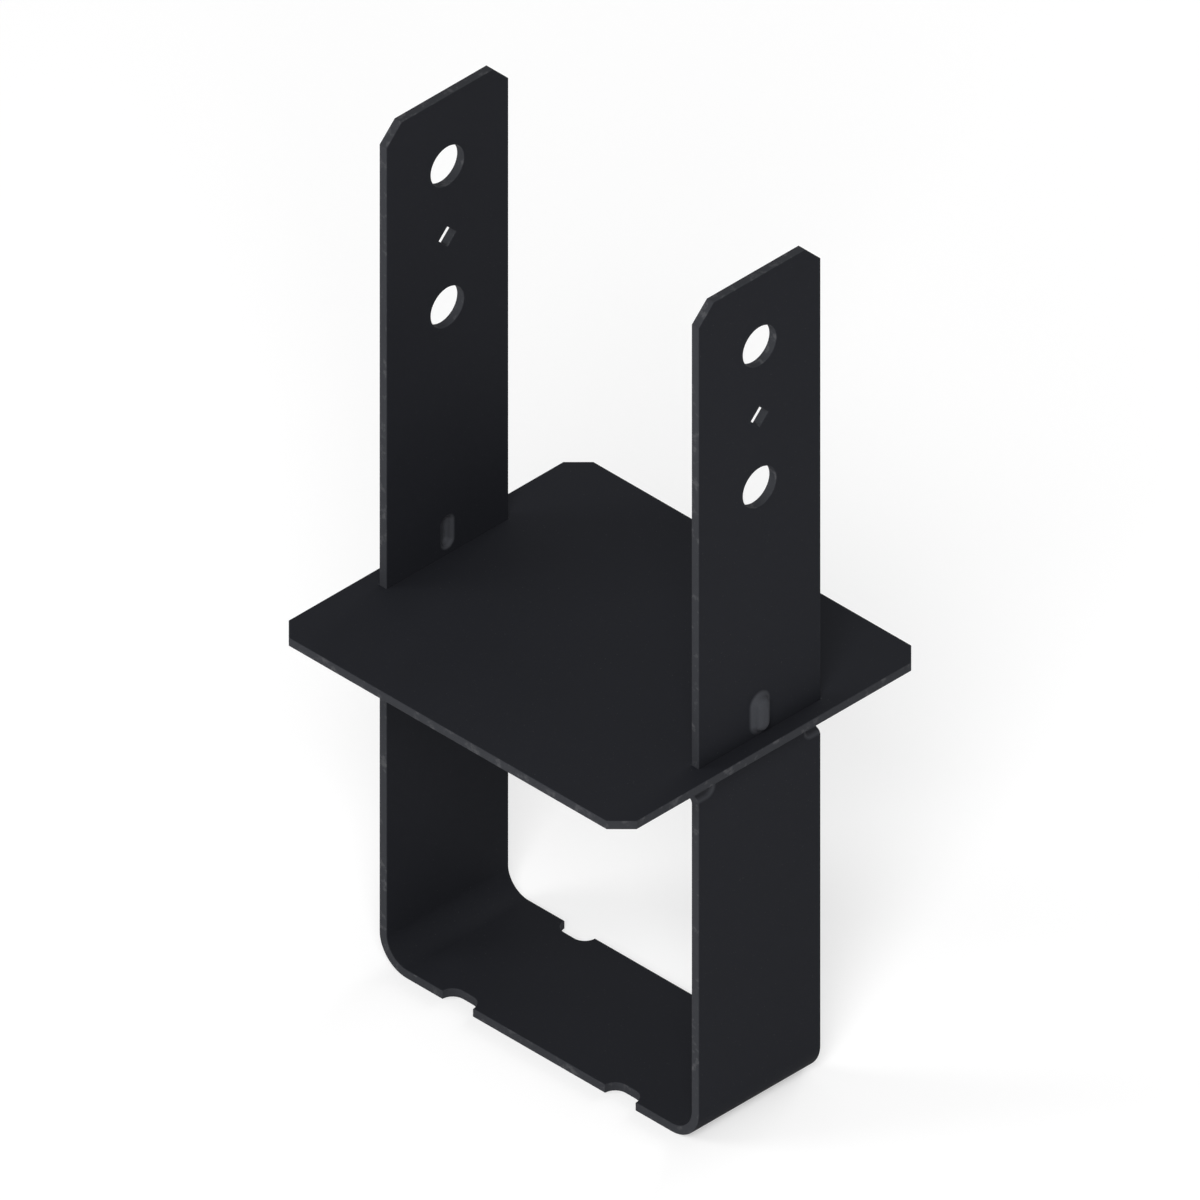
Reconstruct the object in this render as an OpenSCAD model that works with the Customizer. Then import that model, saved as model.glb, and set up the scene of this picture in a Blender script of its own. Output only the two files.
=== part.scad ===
// Raised column base for a dressed 8 x 8 post. One flat strap is bent into a
// square U that makes the foot and both legs. A bearing plate is slotted over
// the legs and is held between stops pressed out of the strap.

/* [Strap] */
// Thickness of the strap, 7 gauge steel
strap_thickness = 4.55; // [3:0.05:6.4]
// Width of the strap
strap_width = 76.2; // [60:0.1:120]
// Inside radius of the two bends at the foot
bend_radius = 12.7; // [5:0.1:25]
// Chamfer on the top corners of each leg
leg_corner = 9.5; // [3:0.1:20]

/* [Post pocket] */
// Clear width between the legs, where the post stands
post_gap = 190.5; // [150:0.1:300]
// Height of the legs above the bearing plate
leg_height = 247.65; // [160:0.05:400]
// Height of the top of the bearing plate above the ground
plate_height = 204.8; // [60:0.1:400]

/* [Bearing plate] */
// Thickness of the bearing plate
plate_thickness = 4.55; // [3:0.05:6.4]
// Lip of the plate beyond the outer face of each leg
plate_lip = 8.95; // [6:0.05:30]
// Depth of the plate along the width of the strap
plate_depth = 190.5; // [130:0.1:300]
// Chamfer on the four corners of the plate
plate_corner = 9.5; // [3:0.1:20]
// Gap all round between a leg and its slot in the plate
slot_clearance = 0.2; // [0.1:0.05:1]

/* [Holes in the legs] */
// Diameter of the bolt holes, for 3/4 inch bolts
bolt_hole_diameter = 20.64; // [12:0.01:26]
// Distance from the top of the leg to the upper bolt hole
bolt_end_distance = 38.1; // [25:0.1:70]
// Distance between the two bolt holes of a leg
bolt_spacing = 76.2; // [45:0.1:120]
// Side of the square nail hole that stands on its corner between the bolts
nail_hole_side = 7.6; // [4:0.1:12]

/* [Pressed stops] */
// How far a stop is pressed out of the face of the leg
press_depth = 3.8; // [2.5:0.05:4.5]
// Width of the upper stop at its foot
press_width = 13; // [12:0.1:18]
// How much narrower the dent behind a stop is on each side
press_draw = 1.65; // [1:0.05:2]
// Height of the upper stop, which is pressed outwards and keeps the plate down
stop_length = 22.5; // [16:0.1:40]
// Gap between the upper stop and the top of the plate
stop_gap = 1.3; // [0.3:0.1:4]
// Width of a lower stop at its foot, before the edge of the strap trims it
ear_width = 15; // [12:0.1:18]
// Length of the lower stops, pressed inwards, on whose square tops the plate rests
ear_length = 17.6; // [10:0.1:30]
// Distance from the edge of the strap to the middle of a lower stop
ear_edge_distance = 6.35; // [6:0.05:12]

/* [Notches in the foot] */
// Distance from the middle of the foot to the middle of a notch
notch_offset = 50.8; // [25:0.1:58]
// Length of a notch along the edge of the foot
notch_length = 19.05; // [14:0.05:26]
// Depth of a notch from the edge, which is also the radius of its ends
notch_depth = 6.35; // [3:0.05:6.9]

/* [Hidden] */
$fn = 96;

leg_outer = post_gap / 2 + strap_thickness;
leg_top = plate_height + leg_height;
plate_underside = plate_height - plate_thickness;
plate_length = 2 * (leg_outer + plate_lip);
upper_bolt_height = leg_top - bolt_end_distance;
lower_bolt_height = upper_bolt_height - bolt_spacing;
nail_hole_height = (upper_bolt_height + lower_bolt_height) / 2;
stop_middle = plate_height + stop_gap + stop_length / 2;
ear_middle = strap_width / 2 - ear_edge_distance;
ear_round_height = plate_underside - ear_length + ear_width / 2;

// Does a shape at the right leg and again, mirrored, at the left leg
module both_legs() {
    children();
    mirror([1, 0, 0]) children();
}

// Does a shape at one edge of the strap and again, mirrored, at the other
module both_edges() {
    children();
    mirror([0, 1, 0]) children();
}

// Tall rectangle with its two bottom corners rounded
module rounded_floor(half_width, bottom, top, radius) {
    translate([-half_width, bottom + radius])
        square([2 * half_width, top - bottom - radius]);
    translate([radius - half_width, bottom])
        square([2 * (half_width - radius), top - bottom]);
    for (side = [-1, 1])
        translate([side * (half_width - radius), bottom + radius])
            circle(radius);
}

// Side profile of the bent strap
module u_profile() {
    difference() {
        rounded_floor(leg_outer, 0, leg_top, bend_radius + strap_thickness);
        rounded_floor(post_gap / 2, strap_thickness, leg_top + strap_thickness, bend_radius);
    }
}

// Outline of the strap seen square on to a leg, with its chamfered top
module leg_outline() {
    half = strap_width / 2;
    polygon([
        [-half, -strap_thickness],
        [half, -strap_thickness],
        [half, leg_top - leg_corner],
        [half - leg_corner, leg_top],
        [leg_corner - half, leg_top],
        [-half, leg_top - leg_corner]
    ]);
}

// Bent strap with the raised side of its lower stops, trimmed to its outline
module strap_blank() {
    intersection() {
        union() {
            rotate([90, 0, 0])
                linear_extrude(2 * strap_width, center = true) u_profile();
            both_legs() leg_ears(post_gap / 2, ear_width / 2);
        }
        rotate([90, 0, 90])
            linear_extrude(4 * leg_outer, center = true) leg_outline();
    }
}

// Half of the section across a pressed stop: a hollow foot that runs up from
// the sheet and a rounded shoulder that runs over to the flat top
module press_section(half_width) {
    blend = press_depth / 2;
    intersection() {
        square([half_width, press_depth]);
        union() {
            translate([-half_width, 0])
                square([2 * half_width - blend, blend]);
            difference() {
                translate([half_width - blend, 0]) square(blend);
                translate([half_width, blend]) circle(blend);
            }
            translate([-half_width, 0])
                square([2 * (half_width - blend), press_depth]);
            translate([half_width - 2 * blend, blend]) circle(blend);
        }
    }
}

// Straight run of a pressed stop, upwards from its origin on the face
module press_straight(half_width, run) {
    translate([0, run, 0])
        rotate([90, 0, 0])
            linear_extrude(run) {
                press_section(half_width);
                mirror([1, 0]) press_section(half_width);
            }
}

// Round upper end of a pressed stop
module press_end(half_width) {
    rotate_extrude(angle = 180) press_section(half_width);
}

// Stop above the plate: a straight run with both ends round
module upper_stop(half_width) {
    run = stop_length - press_width;
    translate([0, -run / 2, 0]) {
        press_straight(half_width, run);
        mirror([0, 1, 0]) press_end(half_width);
        translate([0, run, 0]) press_end(half_width);
    }
}

// Stop below the plate: round at its lower end and cut square at its top
module lower_stop(half_width) {
    press_straight(half_width, plate_underside - ear_round_height);
    mirror([0, 1, 0]) press_end(half_width);
}

// Upper stop of the right leg, rising outwards from a given face
module leg_stop(face, half_width) {
    translate([face, 0, stop_middle])
        rotate([90, 0, 90]) upper_stop(half_width);
}

// Lower stops of the right leg, rising inwards from a given face
module leg_ears(face, half_width) {
    both_edges()
        translate([face, ear_middle, ear_round_height])
            mirror([1, 0, 0])
                rotate([90, 0, 90]) lower_stop(half_width);
}

// Bolt holes and nail hole of the right leg
module leg_holes() {
    middle = post_gap / 2 + strap_thickness / 2;
    for (height = [lower_bolt_height, upper_bolt_height])
        translate([middle, 0, height])
            rotate([0, 90, 0])
                cylinder(d = bolt_hole_diameter, h = 3 * strap_thickness, center = true);
    translate([middle, 0, nail_hole_height])
        rotate([45, 0, 0])
            cube([3 * strap_thickness, nail_hole_side, nail_hole_side], center = true);
}

// Round-ended notch in one edge of the foot
module foot_notch() {
    run = notch_length / 2 - notch_depth;
    translate([notch_offset, strap_width / 2, 0])
        linear_extrude(4 * strap_thickness, center = true) {
            square([2 * run, 2 * notch_depth], center = true);
            for (side = [-1, 1])
                translate([side * run, 0]) circle(notch_depth);
        }
}

// Bent strap: the foot, both legs, their holes and the pressed stops
module u_strap() {
    color("#26272b")
        difference() {
            union() {
                strap_blank();
                both_legs() leg_stop(leg_outer, press_width / 2);
            }
            both_legs() {
                leg_stop(post_gap / 2, press_width / 2 - press_draw);
                leg_ears(leg_outer, ear_width / 2 - press_draw);
                leg_holes();
                both_edges() foot_notch();
            }
        }
}

// Outline of the bearing plate with its chamfered corners
module plate_outline() {
    long = plate_length / 2;
    deep = plate_depth / 2;
    polygon([
        [plate_corner - long, -deep],
        [long - plate_corner, -deep],
        [long, plate_corner - deep],
        [long, deep - plate_corner],
        [long - plate_corner, deep],
        [plate_corner - long, deep],
        [-long, deep - plate_corner],
        [-long, plate_corner - deep]
    ]);
}

// Bearing plate with a slot for each leg
module base_plate() {
    color("#292a2e")
        translate([0, 0, plate_underside])
            linear_extrude(plate_thickness)
                difference() {
                    plate_outline();
                    for (side = [-1, 1])
                        translate([side * (post_gap + strap_thickness) / 2, 0])
                            square(
                                [strap_thickness, strap_width]
                                + 2 * [slot_clearance, slot_clearance],
                                center = true
                            );
                }
}

u_strap();
base_plate();
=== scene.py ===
import math

import bmesh
import bpy
import numpy as np
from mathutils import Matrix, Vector
from mathutils.geometry import delaunay_2d_cdt


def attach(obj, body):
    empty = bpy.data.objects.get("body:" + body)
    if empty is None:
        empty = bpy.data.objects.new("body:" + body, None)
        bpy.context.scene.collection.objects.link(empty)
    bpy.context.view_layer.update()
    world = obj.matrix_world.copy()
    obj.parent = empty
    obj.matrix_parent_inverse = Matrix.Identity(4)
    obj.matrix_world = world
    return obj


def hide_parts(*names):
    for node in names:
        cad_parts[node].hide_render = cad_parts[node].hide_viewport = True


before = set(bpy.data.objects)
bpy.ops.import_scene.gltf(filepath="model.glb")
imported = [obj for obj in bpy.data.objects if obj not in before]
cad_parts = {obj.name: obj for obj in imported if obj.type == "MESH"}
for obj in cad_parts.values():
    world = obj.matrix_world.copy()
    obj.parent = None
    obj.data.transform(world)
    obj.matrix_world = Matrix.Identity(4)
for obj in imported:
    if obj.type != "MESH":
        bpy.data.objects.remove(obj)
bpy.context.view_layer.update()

# Sizes of the column base, in millimetres
MM = 0.001
STRAP_THICKNESS = 4.55
STRAP_WIDTH = 76.2
BEND_RADIUS = 12.7
LEG_CORNER = 9.5
POST_GAP = 190.5
LEG_TOP = 452.45
PLATE_TOP = 204.8
PLATE_THICKNESS = 4.55
PLATE_LIP = 8.95
PLATE_DEPTH = 190.5
PLATE_CORNER = 9.5
SLOT_CLEARANCE = 0.2
BOLT_HOLE_RADIUS = 10.32
BOLT_HEIGHTS = (338.15, 414.35)
NAIL_HOLE_SIDE = 7.6
NAIL_HOLE_HEIGHT = 376.25
PRESS_DEPTH = 3.8
STOP_LENGTH = 23.3
EAR_LENGTH = 16.65
EAR_EDGE_DISTANCE = 5.1
# Half widths of the stops on both faces: at the foot of their slopes and at the flat
STOP_OUTSIDE = (6.8, 1.0)
STOP_INSIDE = (4.7, 0.65)
EAR_OUTSIDE = (5.85, 0.2)
EAR_INSIDE = (7.5, 1.85)
NOTCH_OFFSET = 50.8
NOTCH_LENGTH = 19.05
NOTCH_DEPTH = 6.35

# Rounding that shearing and the coating leave on every cut edge
EDGE_ROUND = 0.35
# Narrow strips beside a rounding that keep the flat faces flat in shading
EDGE_STRIP = 0.3
# Steep step at the square top of a lower stop
SHEAR_STEP = 0.02
# Narrow strips of straight steel beside a bend, for the same reason
BEND_STRIP = 1.0

# How finely curves are drawn: steps in a whole hole, a bend and half of a section
HOLE_STEPS = 72
BEND_STEPS = 18
SECTION_STEPS = 8
# Degrees between points on a rounded edge, a notch's end and a stop's end
RIM_TURNS = (0, 30, 60, 90)
NOTCH_TURN = 10
STOP_TURN = 7.5
# Distance between points along the straight side of a stop
STOP_RUN = 1.5
# Points that agree to these decimals, or lie this close, are one point
PLACE_DECIMALS = 5
MERGE_DISTANCE = 1e-5
# Degrees from which an edge is shaded as a sharp one
SHARP_ANGLE = 40

# Places along the flat strap, measured from the middle of the foot
FOOT_HALF = POST_GAP / 2 - BEND_RADIUS
BEND_RUN = (BEND_RADIUS + STRAP_THICKNESS / 2) * math.pi / 2
LEG_START = FOOT_HALF + BEND_RUN
STRAP_HALF = STRAP_WIDTH / 2


def along(height):
    """Place on the flat strap of a point that stands at that height on a leg."""
    return LEG_START + height - STRAP_THICKNESS - BEND_RADIUS


STRAP_END = along(LEG_TOP)
PLATE_UNDERSIDE = PLATE_TOP - PLATE_THICKNESS
STOP_LOW = along(PLATE_TOP + STOP_OUTSIDE[0])
STOP_HIGH = along(PLATE_TOP + STOP_LENGTH - STOP_OUTSIDE[0])
EAR_TOP = along(PLATE_UNDERSIDE)
# Middle of the bottom corner of a lower stop, which runs out at the strap's edge
EAR_LOW = along(PLATE_UNDERSIDE - EAR_LENGTH + EAR_INSIDE[0])
EAR_ACROSS = STRAP_HALF - EAR_EDGE_DISTANCE
# Where the rounding of the strap's long edges ends and a flat face starts
FACE_EDGE = STRAP_HALF - EDGE_ROUND - EDGE_STRIP


# Node trees that are written as expressions


class Wire:
    """An output of a node, with the arithmetic that adds Math nodes after it."""

    def __init__(self, net, socket):
        self.net = net
        self.socket = socket

    def _math(self, operation, *terms):
        inputs = dict(enumerate(terms))
        return self.net.node("ShaderNodeMath", {"operation": operation}, inputs)

    def __add__(self, other):
        return self._math("ADD", self, other)

    def __radd__(self, other):
        return self._math("ADD", other, self)

    def __sub__(self, other):
        return self._math("SUBTRACT", self, other)

    def __rsub__(self, other):
        return self._math("SUBTRACT", other, self)

    def __mul__(self, other):
        return self._math("MULTIPLY", self, other)

    def __rmul__(self, other):
        return self._math("MULTIPLY", other, self)

    def __truediv__(self, other):
        return self._math("DIVIDE", self, other)

    def __abs__(self):
        return self._math("ABSOLUTE", self)

    def __lt__(self, other):
        return self._math("LESS_THAN", self, other)

    def __gt__(self, other):
        return self._math("GREATER_THAN", self, other)

    def least(self, other):
        return self._math("MINIMUM", self, other)

    def most(self, other):
        return self._math("MAXIMUM", self, other)

    def between(self, low, high):
        return self.most(low).least(high)

    def of(self, operation):
        return self._math(operation, self)

    def out(self, name):
        """Another output of the same node."""
        return Wire(self.net, self.socket.node.outputs[name])


class Net:
    """A shader or geometry node tree that is written as expressions."""

    def __init__(self, tree):
        self.tree = tree

    def node(self, kind, settings=None, inputs=None, output=0):
        """Adds a node: its settings first, then the values or links of its sockets."""
        made = self.tree.nodes.new(kind)
        for name, value in (settings or {}).items():
            setattr(made, name, value)
        for name, value in (inputs or {}).items():
            if isinstance(value, Wire):
                self.tree.links.new(value.socket, made.inputs[name])
            else:
                made.inputs[name].default_value = value
        return Wire(self, made.outputs[output]) if len(made.outputs) else made

    def blend(self, factor, first, second):
        """Colour that goes from first to second."""
        settings = {"data_type": "RGBA"}
        return self.node("ShaderNodeMix", settings, {0: factor, 6: first, 7: second}, 2)

    def scaled(self, colour, factor):
        """A colour made lighter or darker by a number."""
        settings = {"operation": "SCALE"}
        return self.node("ShaderNodeVectorMath", settings, {0: colour, "Scale": factor})


# Sheet steel with rounded cut edges


def leftwards(loop):
    """For each corner of a loop, how it moves when its edges step one unit left."""
    here = np.array(loop)
    ahead = np.roll(here, -1, axis=0) - here
    ahead /= np.linalg.norm(ahead, axis=1)[:, None]
    left = np.stack([-ahead[:, 1], ahead[:, 0]], axis=1)
    before = np.roll(left, 1, axis=0)
    both = left + before
    return both / (1.0 + (left * before).sum(axis=1))[:, None]


def circle_loop(centre, radius):
    """Round hole, listed so that the steel is on its left."""
    turns = [-2 * math.pi * i / HOLE_STEPS for i in range(HOLE_STEPS)]
    return [
        (centre[0] + radius * math.cos(a), centre[1] + radius * math.sin(a))
        for a in turns
    ]


def rim_steps(thickness):
    """Path round a cut edge from the outer face to the inner one.

    Each step is a distance in from the edge, a height over the inner face and
    how much the step belongs to the cut edge.
    """
    turns = [math.radians(a) for a in RIM_TURNS]
    corner = [
        (EDGE_ROUND * (1 - math.sin(a)), EDGE_ROUND * (1 - math.cos(a)), math.sin(a))
        for a in turns
    ]
    half = [(EDGE_ROUND + EDGE_STRIP, 0.0, 0.0), *corner]
    half.append((0.0, EDGE_ROUND + EDGE_STRIP, 1.0))
    outer = [(inset, thickness - depth, cut) for inset, depth, cut in half]
    inner = [(inset, depth, cut) for inset, depth, cut in reversed(half)]
    return outer + inner


def inside(points, loops):
    """Which points lie in the sheet that the loops bound."""
    crossings = np.zeros(len(points), int)
    for loop in loops:
        start = np.array(loop)
        end = np.roll(start, -1, axis=0)
        for (ax, ay), (bx, by) in zip(start, end):
            if ay == by:
                continue
            spans = (points[:, 1] > min(ay, by)) & (points[:, 1] <= max(ay, by))
            reach = ax + (points[:, 1] - ay) * (bx - ax) / (by - ay)
            crossings += spans & (points[:, 0] < reach)
    return crossings % 2 == 1


def place_key(x, y):
    """Names a place, so that points that fall together share one number."""
    return round(x, PLACE_DECIMALS), round(y, PLACE_DECIMALS)


def fill_face(loops, chains):
    """Triangles between the loops, with the chains of points as edges.

    The points of the loops come first in the result, in their order.
    """
    points, edges = [], []
    for loop in loops:
        first = len(points)
        points += loop
        edges += [(first + i, first + (i + 1) % len(loop)) for i in range(len(loop))]
    rim_count = len(points)
    known = {place_key(x, y): i for i, (x, y) in enumerate(points)}
    for chain in chains:
        numbers = []
        for x, y in chain:
            key = place_key(x, y)
            if key not in known:
                known[key] = len(points)
                points.append((x, y))
            numbers.append(known[key])
        edges += [(a, b) for a, b in zip(numbers, numbers[1:]) if a != b]
    flat = [Vector(p) for p in points]
    corners, _, faces, origins, _, _ = delaunay_2d_cdt(
        flat, edges, [], 0, MERGE_DISTANCE
    )
    place = {}
    for number, given in enumerate(origins):
        for name in given:
            place[number] = min(name, place.get(number, name))
    spots = points[:rim_count]
    index = {}
    for number, corner in enumerate(corners):
        if number in place and place[number] < rim_count:
            index[number] = place[number]
        else:
            index[number] = len(spots)
            spots.append(tuple(corner))
    middles = []
    for face in faces:
        total = sum((corners[i] for i in face), Vector((0, 0)))
        middles.append(total / len(face))
    kept = inside(np.array(middles), loops)
    triangles = [[index[i] for i in face] for face, keep in zip(faces, kept) if keep]
    return spots, triangles


def sheet(name, loops, thickness, outer_chains=(), inner_chains=()):
    """Flat sheet with rounded cut edges, its outer face up, as a closed mesh.

    Every loop has the steel on its left. The attribute cut is 1 on cut edges.
    """
    steps = rim_steps(thickness)
    moves = [leftwards(loop) for loop in loops]
    corners, cuts, faces = [], [], []
    rings = []
    for loop, move in zip(loops, moves):
        base = np.array(loop)
        ring_starts = []
        for inset, height, cut in steps:
            ring_starts.append(len(corners))
            ring = base + move * inset
            corners += [(x, y, height) for x, y in ring]
            cuts += [cut] * len(loop)
        rings.append(ring_starts)
        count = len(loop)
        for upper, lower in zip(ring_starts, ring_starts[1:]):
            for i in range(count):
                j = (i + 1) % count
                faces.append((upper + i, lower + i, lower + j, upper + j))
    for side, chains in ((0, outer_chains), (-1, inner_chains)):
        inset, height, _ = steps[side]
        edge_loops = [
            [tuple(p) for p in np.array(loop) + move * inset]
            for loop, move in zip(loops, moves)
        ]
        spots, triangles = fill_face(edge_loops, chains)
        numbers = []
        for loop, ring_starts in zip(loops, rings):
            numbers += range(ring_starts[side], ring_starts[side] + len(loop))
        for x, y in spots[len(numbers):]:
            numbers.append(len(corners))
            corners.append((x, y, height))
            cuts.append(0.0)
        for triangle in triangles:
            found = [numbers[i] for i in triangle]
            faces.append(found if side == 0 else found[::-1])
    mesh = bpy.data.meshes.new(name)
    mesh.from_pydata([[c * MM for c in corner] for corner in corners], [], faces)
    attribute = mesh.attributes.new("cut", "FLOAT", "POINT")
    attribute.data.foreach_set("value", cuts)
    return mesh


# The strap while it is flat


def notch_chain(middle):
    """Round-ended notch in the front edge of the foot, from left to right."""
    run = NOTCH_LENGTH / 2 - NOTCH_DEPTH
    ends = ((middle - run, 180, 89), (middle + run, 90, -1))
    chain = []
    for centre, first, last in ends:
        for angle in range(first, last, -NOTCH_TURN):
            turn = math.radians(angle)
            x = centre + NOTCH_DEPTH * math.cos(turn)
            chain.append((x, NOTCH_DEPTH * math.sin(turn) - STRAP_HALF))
    return chain


def bend_places():
    """Lines across the strap where its right bend turns in small steps."""
    turning = [FOOT_HALF + BEND_RUN * i / BEND_STEPS for i in range(BEND_STEPS + 1)]
    return [FOOT_HALF - BEND_STRIP, *turning, LEG_START + BEND_STRIP]


def ear_levels():
    """Places along the right leg where the square top of a lower stop steps."""
    return [EAR_TOP - EDGE_STRIP, EAR_TOP - SHEAR_STEP, EAR_TOP, EAR_TOP + EDGE_STRIP]


def ear_edge_places():
    """Places along the right leg where the edge follows a lower stop."""
    widths = press_widths(*EAR_INSIDE) + press_widths(*EAR_OUTSIDE)
    return sorted(EAR_LOW - width for width in widths) + ear_levels()


def strap_outline():
    """Outline of the flat strap with its notches and chamfered ends."""
    places = bend_places() + ear_edge_places()
    front = [
        (-STRAP_END, LEG_CORNER - STRAP_HALF),
        (LEG_CORNER - STRAP_END, -STRAP_HALF),
    ]
    front += [(-s, -STRAP_HALF) for s in reversed(places)]
    front += notch_chain(-NOTCH_OFFSET) + notch_chain(NOTCH_OFFSET)
    front += [(s, -STRAP_HALF) for s in places]
    front.append((STRAP_END - LEG_CORNER, -STRAP_HALF))
    front.append((STRAP_END, LEG_CORNER - STRAP_HALF))
    return front + [(-x, -y) for x, y in front]


def strap_holes():
    """Bolt holes and nail holes of both legs on the flat strap."""
    loops = []
    for side in (-1, 1):
        for height in BOLT_HEIGHTS:
            loops.append(circle_loop((side * along(height), 0.0), BOLT_HOLE_RADIUS))
        reach = NAIL_HOLE_SIDE / math.sqrt(2)
        middle = side * along(NAIL_HOLE_HEIGHT)
        loops.append(
            [
                (middle + reach, 0.0),
                (middle, -reach),
                (middle - reach, 0.0),
                (middle, reach),
            ]
        )
    return loops


def press_widths(foot, flat):
    """Distances from the middle of a stop at which its section turns a little."""
    slope = foot - flat
    radius = (slope ** 2 + PRESS_DEPTH ** 2) / (4 * PRESS_DEPTH)
    whole = math.asin(slope / 2 / radius)
    turns = [whole * i / SECTION_STEPS for i in range(SECTION_STEPS + 1)]
    hollow = [foot - radius * math.sin(turn) for turn in turns]
    shoulder = [flat + radius * math.sin(turn) for turn in reversed(turns[:-1])]
    return [foot + EDGE_STRIP, *hollow, *shoulder]


def straight_run(low, high, across):
    """Points along a straight side of a stop, evenly spaced."""
    count = max(2, round((high - low) / STOP_RUN))
    return [(low + (high - low) * i / count, across) for i in range(count + 1)]


def round_end(middle, across, reach, first, last):
    """Points round the end of a stop, from one angle in degrees to another."""
    count = round(abs(last - first) / STOP_TURN)
    turns = [math.radians(first + (last - first) * i / count) for i in range(count + 1)]
    return [(middle + reach * math.cos(a), across + reach * math.sin(a)) for a in turns]


def press_chains(stop_sizes, ear_sizes):
    """Lines on one face of the flat strap that the pressed stops need."""
    stops = []
    for reach in press_widths(*stop_sizes):
        ring = straight_run(STOP_LOW, STOP_HIGH, -reach)
        ring += round_end(STOP_HIGH, 0.0, reach, -90, 90)[1:]
        ring += straight_run(STOP_LOW, STOP_HIGH, reach)[::-1][1:]
        ring += round_end(STOP_LOW, 0.0, reach, 90, 270)[1:]
        stops.append(ring)
    ears = []
    ear_widths = press_widths(*ear_sizes)
    for reach in ear_widths:
        ear = straight_run(EAR_LOW, EAR_TOP - SHEAR_STEP, EAR_ACROSS - reach)[::-1]
        ear += round_end(EAR_LOW, EAR_ACROSS, reach, 270, 180)[1:]
        ears.append([*ear, (EAR_LOW - reach, FACE_EDGE)])
    for level in ear_levels():
        row = [(level, EAR_ACROSS - reach) for reach in ear_widths]
        ears.append([*row, (level, FACE_EDGE)])
    chains = stops + ears + [[(x, -y) for x, y in ear] for ear in ears]
    return chains + [[(-x, y) for x, y in chain] for chain in chains]


def bend_chains():
    """Lines across the strap from edge to edge at both bends."""
    return [
        [(side * s, -FACE_EDGE), (side * s, FACE_EDGE)]
        for s in bend_places()
        for side in (-1, 1)
    ]


def flat_strap():
    """The sheared and punched strap before it is pressed and bent."""
    rows = bend_chains()
    outer = rows + press_chains(STOP_OUTSIDE, EAR_OUTSIDE)
    inner = rows + press_chains(STOP_INSIDE, EAR_INSIDE)
    loops = [strap_outline(), *strap_holes()]
    return sheet("flat_strap", loops, STRAP_THICKNESS, outer, inner)


# The strap in the press and in the bending brake

FORMING_SIZES = {
    "Thickness": STRAP_THICKNESS,
    "Bend radius": BEND_RADIUS,
    "Half length of the foot": FOOT_HALF,
    "Press depth": PRESS_DEPTH,
    "Upper stop foot on the outer face": STOP_OUTSIDE[0],
    "Upper stop flat on the outer face": STOP_OUTSIDE[1],
    "Upper stop foot on the inner face": STOP_INSIDE[0],
    "Upper stop flat on the inner face": STOP_INSIDE[1],
    "Lower stop foot on the outer face": EAR_OUTSIDE[0],
    "Lower stop flat on the outer face": EAR_OUTSIDE[1],
    "Lower stop foot on the inner face": EAR_INSIDE[0],
    "Lower stop flat on the inner face": EAR_INSIDE[1],
    "Start of the upper stop": STOP_LOW,
    "End of the upper stop": STOP_HIGH,
    "Corner of a lower stop along the leg": EAR_LOW,
    "Corner of a lower stop across the leg": EAR_ACROSS,
    "Top of a lower stop": EAR_TOP,
}


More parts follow.
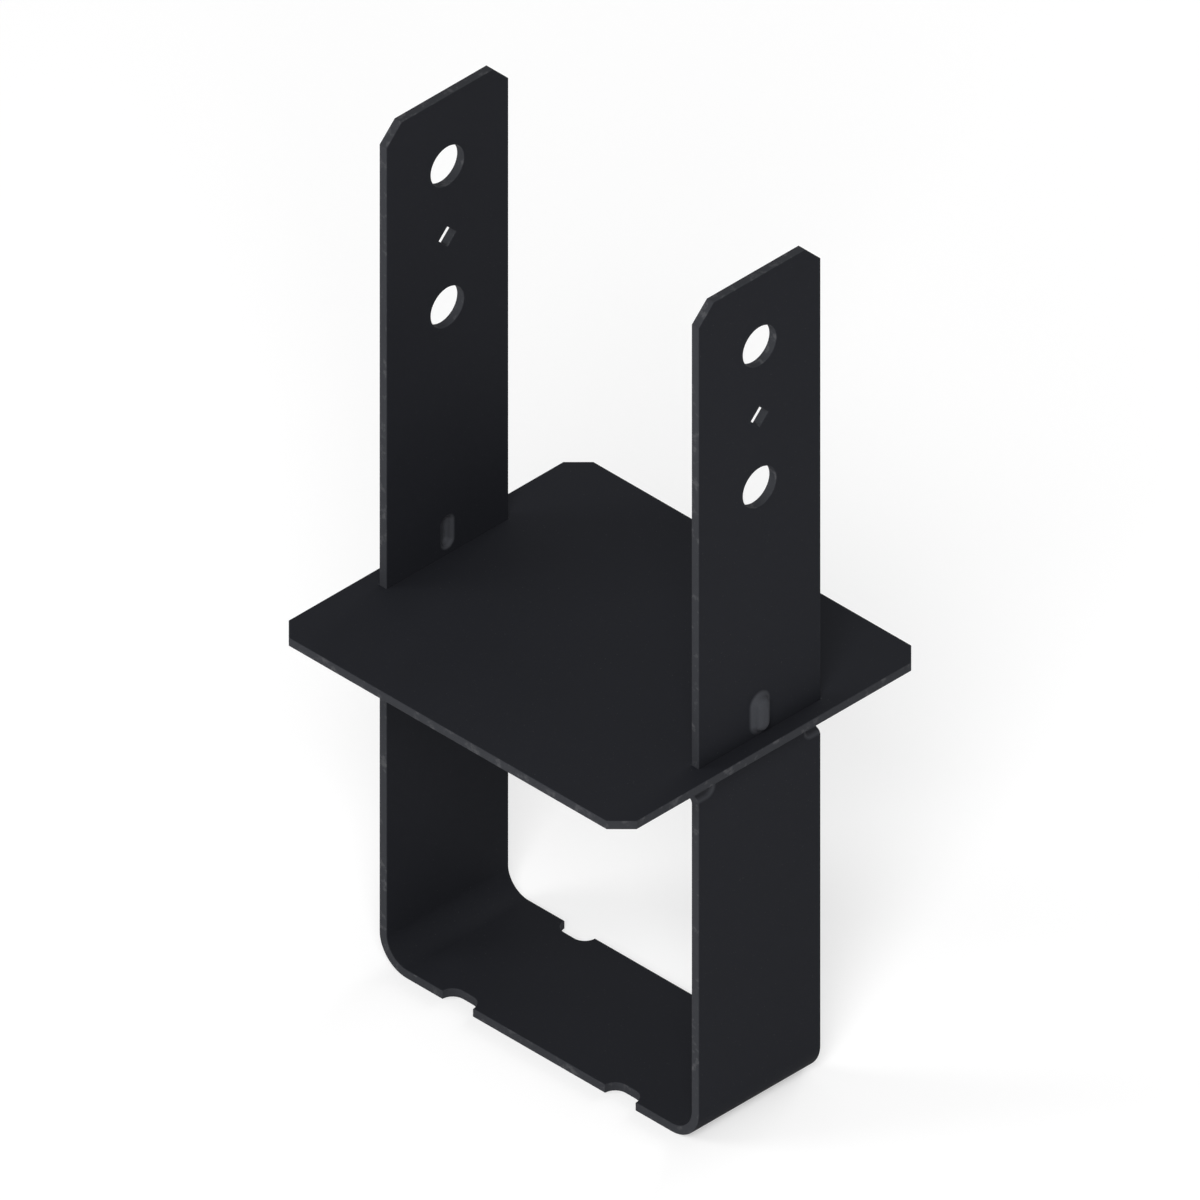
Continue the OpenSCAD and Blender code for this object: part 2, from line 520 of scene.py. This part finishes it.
def forming_tree():
    """Geometry nodes that press the stops into a flat strap and bend it to a U."""
    tree = bpy.data.node_groups.new("press_and_bend", "GeometryNodeTree")
    face = tree.interface
    face.new_socket("Geometry", in_out="INPUT", socket_type="NodeSocketGeometry")
    for name in FORMING_SIZES:
        face.new_socket(name, in_out="INPUT", socket_type="NodeSocketFloat")
    face.new_socket("Material", in_out="INPUT", socket_type="NodeSocketMaterial")
    face.new_socket("Geometry", in_out="OUTPUT", socket_type="NodeSocketGeometry")
    net = Net(tree)
    size = net.node("NodeGroupInput").out
    position = net.node("GeometryNodeInputPosition")
    place = net.node("ShaderNodeSeparateXYZ", None, {0: position})
    run, across, level = abs(place.out("X")), abs(place.out("Y")), place.out("Z")

    # How far a press moves a face: a hollow foot, then a round shoulder
    outer = level > size("Thickness") * 0.5
    half_rise = size("Press depth") * 0.5

    def on_face(name):
        inside = size(name + " on the inner face")
        return inside + outer * (size(name + " on the outer face") - inside)

    def rise(stop, beyond, aside):
        foot = on_face(stop + " foot")
        half = (foot - on_face(stop + " flat")) * 0.5
        radius = (half * half + half_rise * half_rise) / size("Press depth")
        inward = foot - (beyond * beyond + aside * aside).of("SQRT")
        hollow = inward.between(0.0, half)
        rest = half - (inward - half).between(0.0, half)
        hollow_rise = radius - (radius * radius - hollow * hollow).of("SQRT")
        rest_rise = radius - (radius * radius - rest * rest).of("SQRT")
        return hollow_rise + half_rise - rest_rise, hollow / half

    start, end = size("Start of the upper stop"), size("End of the upper stop")
    upper, on_upper = rise("Upper stop", run - run.between(start, end), across)
    lower, on_lower = rise(
        "Lower stop",
        (run - size("Corner of a lower stop along the leg")).least(0.0),
        (across - size("Corner of a lower stop across the leg")).least(0.0),
    )
    # The upper stop goes outwards, and the lower ones inwards up to their square tops
    below = run < size("Top of a lower stop") - SHEAR_STEP * MM / 2
    raised = level + upper - lower * below
    pressed = on_upper + on_lower * below

    # Bend: straight foot, quarter turn, straight leg
    middle_radius = size("Bend radius") + size("Thickness") * 0.5
    after = run - size("Half length of the foot")
    turn = (after / middle_radius).between(0.0, math.pi / 2)
    leg = (after - middle_radius * (math.pi / 2)).most(0.0)
    radius = size("Bend radius") + raised
    out = run.least(size("Half length of the foot")) + radius * turn.of("SINE")
    up = size("Bend radius") + size("Thickness") + leg - radius * turn.of("COSINE")
    side = place.out("X").of("SIGN")
    bent = net.node(
        "ShaderNodeCombineXYZ", None, {0: out * side, 1: place.out("Y"), 2: up}
    )

    # The attribute pressed tells how far up a stop's slope a point lies; the coat uses
    # it to paint light onto the slopes
    named = net.node(
        "GeometryNodeStoreNamedAttribute",
        {"data_type": "FLOAT", "domain": "POINT"},
        {"Geometry": size("Geometry"), "Name": "pressed", "Value": pressed},
    )
    formed = net.node(
        "GeometryNodeSetPosition", None, {"Geometry": named, "Position": bent}
    )
    real = net.node("GeometryNodeRealizeInstances", None, {"Geometry": formed})
    coated = net.node(
        "GeometryNodeSetMaterial",
        None,
        {"Geometry": real, "Material": size("Material")},
    )
    net.node("NodeGroupOutput", None, {0: coated})
    return tree


def form_strap(blank, coat):
    """Runs the forming tree on the blank and returns the finished plain mesh."""
    pressed = bpy.data.objects.new("strap_in_the_press", blank)
    bpy.context.scene.collection.objects.link(pressed)
    forming = pressed.modifiers.new("press_and_bend", "NODES")
    forming.node_group = forming_tree()
    for item in forming.node_group.interface.items_tree:
        if item.in_out == "INPUT" and item.name in FORMING_SIZES:
            forming[item.identifier] = FORMING_SIZES[item.name] * MM
        elif item.in_out == "INPUT" and item.name == "Material":
            forming[item.identifier] = coat
    graph = bpy.context.evaluated_depsgraph_get()
    mesh = bpy.data.meshes.new_from_object(
        pressed.evaluated_get(graph), preserve_all_data_layers=True, depsgraph=graph
    )
    bpy.data.objects.remove(pressed)
    return mesh


def add_piece(name, mesh, coat, node):
    """Puts a finished mesh in the scene in place of its CAD node."""
    shell = bmesh.new()
    shell.from_mesh(mesh)
    bmesh.ops.recalc_face_normals(shell, faces=shell.faces)
    shell.to_mesh(mesh)
    shell.free()
    mesh.shade_smooth()
    mesh.set_sharp_from_angle(angle=math.radians(SHARP_ANGLE))
    mesh.materials.clear()
    mesh.materials.append(coat)
    piece = bpy.data.objects.new(name, mesh)
    bpy.context.scene.collection.objects.link(piece)
    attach(piece, "root")
    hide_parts(node)


# Bearing plate


def flat_plate():
    """The bearing plate with its slots, at its height on the strap."""
    long = POST_GAP / 2 + STRAP_THICKNESS + PLATE_LIP
    deep = PLATE_DEPTH / 2
    right = [(long, PLATE_CORNER - deep), (long, deep - PLATE_CORNER)]
    back = [(long - PLATE_CORNER, deep), (PLATE_CORNER - long, deep)]
    loops = [right + back + [(-x, -y) for x, y in right + back]]
    for side in (-1, 1):
        middle = side * (POST_GAP + STRAP_THICKNESS) / 2
        half_x = STRAP_THICKNESS / 2 + SLOT_CLEARANCE
        half_y = STRAP_HALF + SLOT_CLEARANCE
        loops.append(
            [
                (middle - half_x, -half_y),
                (middle - half_x, half_y),
                (middle + half_x, half_y),
                (middle + half_x, -half_y),
            ]
        )
    mesh = sheet("flat_plate", loops, PLATE_THICKNESS)
    for corner in mesh.vertices:
        corner.co.z += PLATE_UNDERSIDE * MM
    return mesh


# Powder coat

# Colours of the coat: on flat faces, a lighter one on cut edges that is a painted
# highlight, and a lighter one on the slopes of the stops that is painted light over
# their shade
FACE = (0.0143, 0.0151, 0.0185)
# Lighter colour of the cut edges: a painted highlight along every cut edge
PAINTED_EDGE_HIGHLIGHT = (0.0318, 0.0331, 0.0376)
# Lighter colour on the slopes of the stops: painted light that lifts the shade in their
# hollows
PAINTED_STOP_LIGHT = (0.044, 0.0458, 0.052)
# How fast the painted light sets in on the slope of a stop, lifting the shade that
# falls in its hollow
PAINTED_LIGHT_GAIN = 2.0
# Noises of the coat: waves to the metre, detail and, for wear, roughness
CLOUDS = (14.0, 3.0)
GRAIN = (420.0, 2.0)
SKIN = (900.0, 1.0)
WEAR = (160.0, 4.0, 0.65)
DUST = (1500.0, 1.0)
# Level of its noise at which a mark starts, how fast it sets in, its share and colour
WORN_START, WORN_GAIN, WORN_SHARE = 0.56, 9.0, 0.22
WORN_COLOUR = (0.16, 0.16, 0.165, 1.0)
DUST_START, DUST_GAIN, DUST_SHARE = 0.74, 16.0, 0.12
DUST_COLOUR = (0.3, 0.3, 0.29, 1.0)
# Tone of the coat, and what the clouds and the grain add to it
TONE, CLOUDS_TONE, GRAIN_TONE = 0.86, 0.2, 0.1
# Roughness of the coat, and what each mark adds to it or, for wear, takes off
ROUGHNESS, CLOUDS_ROUGHNESS, GRAIN_ROUGHNESS = 0.54, 0.1, 0.06
WORN_POLISH, DUST_ROUGHNESS = 0.1, 0.2
ROUGHNESS_LIMITS = (0.3, 0.9)
# Relief of the coat: shares of the skin and the grain, strength and height in metres
SKIN_RELIEF, GRAIN_RELIEF = 0.7, 0.3
RELIEF_STRENGTH, RELIEF_HEIGHT = 0.35, 0.00006
SHINE = 0.035


# The colour edge is a painted highlight for the cut edges, and pressed is painted light
# for the slopes of the stops
def powder_coat(name, face, edge, pressed=None):
    """Near-black powder coat with its fine skin, thin places on edges and dust, with a
    painted highlight on the cut edges and painted light on the slopes of the stops.
    """
    coat = bpy.data.materials.new(name)
    coat.use_nodes = True
    tree = coat.node_tree
    tree.nodes.clear()
    net = Net(tree)
    place = net.node("ShaderNodeTexCoord").out("Object")

    def noise(scale, detail, roughness=0.5):
        look = {"Scale": scale, "Detail": detail, "Roughness": roughness}
        return net.node("ShaderNodeTexNoise", None, {"Vector": place, **look})

    def marks(attribute):
        return net.node("ShaderNodeAttribute", {"attribute_name": attribute}).out("Fac")

    mask = marks("cut")
    clouds = noise(*CLOUDS)
    grain = noise(*GRAIN)
    skin = noise(*SKIN)
    worn = ((noise(*WEAR) - WORN_START) * WORN_GAIN).between(0.0, 1.0) * mask
    dust = ((noise(*DUST) - DUST_START) * DUST_GAIN).between(0.0, 1.0)

    # Cut edges take the lighter colour, a painted highlight along every cut edge
    base = net.blend(mask, (*face, 1.0), (*edge, 1.0))
    # The slopes of the stops take a lighter colour: painted light that lifts the shade
    # in their hollows
    if pressed:
        share = (marks("pressed") * PAINTED_LIGHT_GAIN).least(1.0)
        base = net.blend(share, base, (*pressed, 1.0))
    tone = TONE + clouds * CLOUDS_TONE + grain * GRAIN_TONE
    coloured = net.scaled(base, tone)
    touched = net.blend(worn * WORN_SHARE, coloured, WORN_COLOUR)
    dusty = net.blend(dust * DUST_SHARE, touched, DUST_COLOUR)
    plain = ROUGHNESS + clouds * CLOUDS_ROUGHNESS + grain * GRAIN_ROUGHNESS
    marked = plain - worn * WORN_POLISH + dust * DUST_ROUGHNESS
    roughness = marked.between(*ROUGHNESS_LIMITS)
    height = skin * SKIN_RELIEF + grain * GRAIN_RELIEF
    bump = net.node(
        "ShaderNodeBump",
        None,
        {"Strength": RELIEF_STRENGTH, "Distance": RELIEF_HEIGHT, "Height": height},
    )
    shader = net.node(
        "ShaderNodeBsdfPrincipled",
        None,
        {
            "Base Color": dusty,
            "Roughness": roughness,
            "Specular IOR Level": SHINE,
            "Normal": bump,
        },
    )
    net.node("ShaderNodeOutputMaterial", None, {"Surface": shader})
    return coat


# Floor, surroundings, lamps and camera, with lengths in metres

WHITE = (1.0, 1.0, 1.0, 1.0)
FLOOR_REACH = 8.0
FLOOR_TONE = 0.93
# Glow that only the camera sees in the floor: its strength and its share
FLOOR_GLOW, GLOW_SHARE = 1.25, 0.35
# Light of the surroundings, and what the camera sees in them beyond that
SKY_LIGHT, SKY_EXTRA = 0.42, 0.58
# Where each lamp stands, and its power in watts
LAMPS = {
    "key_lamp": ((1.6, -2.0, 2.1), 74.0),
    "left_lamp": ((-1.8, -2.1, 1.3), 26.0),
    "back_lamp": ((-0.4, 2.8, 1.2), 26.0),
}
LAMP_SIZE = 1.4
LAMP_AIM = (0, 0, 0.2)
VIEW_WIDTH = 0.5302
VIEW_MIDDLE = (0.0, 0.0, 0.2272)
CAMERA_DISTANCE = 3.0
CAMERA_NEAR, CAMERA_FAR = 0.05, 20.0


def floor_material():
    """Pale floor that the camera sees as white, with the shadow kept."""
    coat = bpy.data.materials.new("studio_floor")
    coat.use_nodes = True
    tree = coat.node_tree
    tree.nodes.clear()
    net = Net(tree)
    tone = (FLOOR_TONE, FLOOR_TONE, FLOOR_TONE, 1.0)
    matt = net.node("ShaderNodeBsdfDiffuse", None, {"Color": tone})
    glow = {"Color": WHITE, "Strength": FLOOR_GLOW}
    white = net.node("ShaderNodeEmission", None, glow)
    seen = net.node("ShaderNodeLightPath").out("Is Camera Ray") * GLOW_SHARE
    shader = net.node("ShaderNodeMixShader", None, {0: seen, 1: matt, 2: white})
    net.node("ShaderNodeOutputMaterial", None, {"Surface": shader})
    return coat


def add_lamp(name, place, watts):
    """Large soft lamp that shines at the middle of the part."""
    light = bpy.data.lights.new(name, "AREA")
    light.shape = "DISK"
    light.size = LAMP_SIZE
    light.energy = watts
    holder = bpy.data.objects.new(name, light)
    holder.location = place
    aim = Vector(LAMP_AIM) - Vector(place)
    holder.rotation_euler = aim.to_track_quat("-Z", "Y").to_euler()
    bpy.context.scene.collection.objects.link(holder)


def build_studio():
    """Pale floor, white surroundings and the lamps."""
    mesh = bpy.data.meshes.new("studio_floor")
    sides = ((-1, -1), (1, -1), (1, 1), (-1, 1))
    corners = [(x * FLOOR_REACH, y * FLOOR_REACH, 0) for x, y in sides]
    mesh.from_pydata(corners, [], [(0, 1, 2, 3)])
    mesh.materials.append(floor_material())
    floor = bpy.data.objects.new("studio_floor", mesh)
    bpy.context.scene.collection.objects.link(floor)

    world = bpy.data.worlds.new("studio_world")
    bpy.context.scene.world = world
    world.use_nodes = True
    world.node_tree.nodes.clear()
    net = Net(world.node_tree)
    rays = net.node("ShaderNodeLightPath")
    level = SKY_LIGHT + rays.out("Is Camera Ray") * SKY_EXTRA
    look = {"Color": WHITE, "Strength": level}
    sky = net.node("ShaderNodeBackground", None, look)
    net.node("ShaderNodeOutputWorld", None, {"Surface": sky})

    for name, (place, watts) in LAMPS.items():
        add_lamp(name, place, watts)


def place_camera():
    """Parallel view along the diagonal, as in an isometric drawing."""
    camera = bpy.data.cameras.new("camera")
    camera.type = "ORTHO"
    camera.ortho_scale = VIEW_WIDTH
    camera.clip_start = CAMERA_NEAR
    camera.clip_end = CAMERA_FAR
    holder = bpy.data.objects.new("camera", camera)
    back = Vector((1.0, -1.0, 1.0)).normalized()
    holder.location = Vector(VIEW_MIDDLE) + back * CAMERA_DISTANCE
    holder.rotation_euler = (-back).to_track_quat("-Z", "Y").to_euler()
    bpy.context.scene.collection.objects.link(holder)
    bpy.context.scene.camera = holder


# Putting it all together

bpy.context.scene.view_settings.view_transform = "Standard"
place_camera()
build_studio()

strap_coat = powder_coat("strap_powder_coat", FACE, PAINTED_EDGE_HIGHLIGHT, PAINTED_STOP_LIGHT)
plate_coat = powder_coat("plate_powder_coat", FACE, PAINTED_EDGE_HIGHLIGHT)

strap_mesh = form_strap(flat_strap(), strap_coat)
add_piece("formed_strap", strap_mesh, strap_coat, "u_strap")
add_piece("bearing_plate", flat_plate(), plate_coat, "base_plate")
